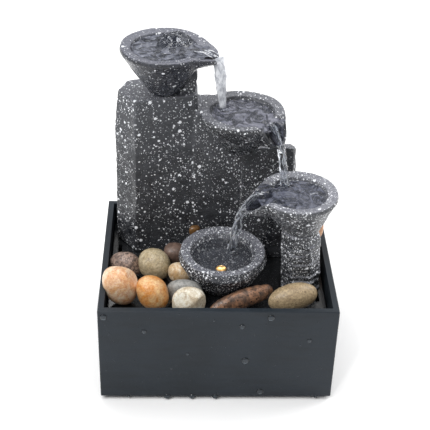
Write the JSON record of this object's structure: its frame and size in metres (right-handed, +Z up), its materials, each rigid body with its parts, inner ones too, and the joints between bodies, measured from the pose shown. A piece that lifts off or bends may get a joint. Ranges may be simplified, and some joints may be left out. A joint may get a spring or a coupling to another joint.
{
  "type": "tabletop water fountain",
  "caption": "Tabletop cascade fountain: rectangular basin with a lift-out cast rockery whose bowls spill into each other, a submersible pump in the sump and a lamp in the lowest bowl.",
  "frame": {"origin": "middle of the footprint, on the surface that the feet stand on", "axes": "+Z up, +X to the right seen from the front, -Y towards the front, where the lowest bowl is"},
  "size_m": [0.17, 0.142, 0.235],
  "materials": {
    "basin_slate": "satin",
    "foot_rubber": "matte",
    "gland_rubber": "matte",
    "deck_plastic": "satin",
    "cast_stone": "matte",
    "clear_hose": "gloss",
    "lamp_lens": "gloss",
    "lamp_plastic": "satin",
    "lamp_board": "satin",
    "lead_jacket": "satin",
    "pump_plastic": "satin",
    "core_steel": "satin",
    "copper_wire": "satin",
    "ferrite": "matte",
    "shaft_ceramic": "gloss",
    "bush_rubber": "matte",
    "pebble_peach": "satin",
    "pebble_orange": "satin",
    "pebble_granite": "satin",
    "pebble_olive": "satin",
    "pebble_mauve": "satin",
    "pebble_cream": "satin",
    "pebble_grey": "satin",
    "pebble_white": "satin",
    "pebble_russet": "satin",
    "pebble_tan": "satin",
    "pebble_rear_low": "satin",
    "pebble_rear_side": "satin",
    "pebble_terracotta": "satin",
    "pebble_amber": "satin"
  },
  "bodies": {
    "basin": {"basin": "basin_slate", "foot_front_left": "foot_rubber", "foot_front_right": "foot_rubber", "foot_rear_left": "foot_rubber", "foot_rear_right": "foot_rubber", "cable_gland": "gland_rubber", "pump_body": "pump_plastic", "pump_back_cover": "pump_plastic", "stator_core": "core_steel", "stator_coil": "copper_wire", "rear_bush": "bush_rubber", "front_bush": "bush_rubber", "impeller_shaft": "shaft_ceramic", "pump_chamber": "pump_plastic", "suction_cup_1": "foot_rubber", "suction_cup_2": "foot_rubber", "suction_cup_3": "foot_rubber", "suction_cup_4": "foot_rubber", "pump_lead": "lead_jacket", "lamp_socket": "lamp_plastic", "lamp_supply_lead": "lead_jacket"},
    "rotor": {"rotor_magnet": "ferrite", "impeller": "pump_plastic"},
    "intake_cover": {"intake_cover": "pump_plastic"},
    "flow_slider": {"flow_slider": "pump_plastic"},
    "rockery": {"deck": "deck_plastic", "rock_tower": "cast_stone", "right_pillar": "cast_stone", "top_bowl": "cast_stone", "second_bowl": "cast_stone", "third_bowl": "cast_stone", "lowest_bowl": "cast_stone", "riser_hose": "clear_hose", "bubbler_outlet": "clear_hose", "lamp_lens": "lamp_lens", "lamp_gasket": "gland_rubber", "lamp_housing": "lamp_plastic", "lamp_board": "lamp_board", "lamp_lead": "lead_jacket", "lamp_plug": "lamp_plastic", "pebble_peach": "pebble_peach", "pebble_orange": "pebble_orange", "pebble_granite": "pebble_granite", "pebble_olive": "pebble_olive", "pebble_mauve": "pebble_mauve", "pebble_cream": "pebble_cream", "pebble_grey": "pebble_grey", "pebble_white": "pebble_white", "pebble_russet": "pebble_russet", "pebble_tan": "pebble_tan", "pebble_rear_low": "pebble_rear_low", "pebble_rear_side": "pebble_rear_side", "pebble_terracotta": "pebble_terracotta", "pebble_amber": "pebble_amber"}
  },
  "joints": [
    {"name": "rotor_spin", "type": "hinge", "parent": "basin", "child": "rotor", "pos_m": [-0.0418, 0.039, 0.026], "axis": [1, 0, 0], "continuous": true},
    {"name": "intake_cover_pull", "type": "slide", "parent": "basin", "child": "intake_cover", "axis": [1, 0, 0], "range_m": [0, 0.012]},
    {"name": "flow_slide", "type": "slide", "parent": "intake_cover", "child": "flow_slider", "axis": [0, 1, 0], "range_m": [0, 0.006]},
    {"name": "rockery_lift", "type": "slide", "parent": "basin", "child": "rockery", "axis": [0, 0, 1], "range_m": [0, 0.06]}
  ]
}
